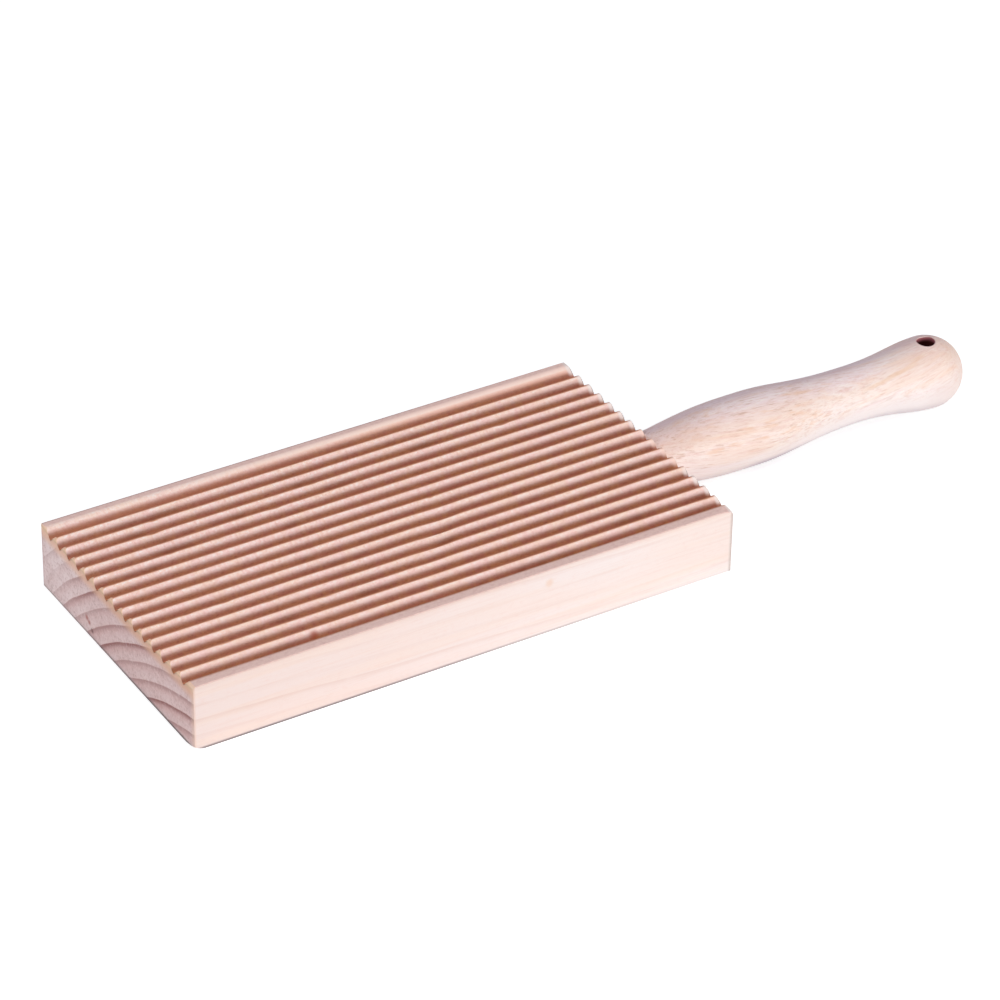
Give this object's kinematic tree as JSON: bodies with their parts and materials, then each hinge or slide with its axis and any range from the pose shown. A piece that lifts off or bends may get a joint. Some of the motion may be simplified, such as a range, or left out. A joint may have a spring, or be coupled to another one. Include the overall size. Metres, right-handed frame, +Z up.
{
  "type": "gnocchi board",
  "caption": "Flat wooden plank ridged lengthwise on top for rolling gnocchi, with a turned handle on one end that has a hanging hole through its bulb.",
  "frame": {"origin": "on the plane of the plank's underside, under the middle of the whole length from the plank's plain end to the handle's tip, on the centreline", "axes": "+X along the grooves from the plain end towards the handle, +Y across the plank, +Z up through the ridges"},
  "size_m": [0.328, 0.105, 0.0265],
  "materials": {
    "board_wood": "bare sanded softwood, pale pinkish cream, with the growth rings showing on its end grain",
    "handle_wood": "bare turned and sanded hardwood, pale cream, with fine brown pore flecks along its length",
    "dowel_wood": "bare fluted beech, hidden in the joint"
  },
  "bodies": {
    "root": {"ridged_board": "board_wood", "handle": "handle_wood", "joint_dowel": "dowel_wood"}
  },
  "joints": []
}
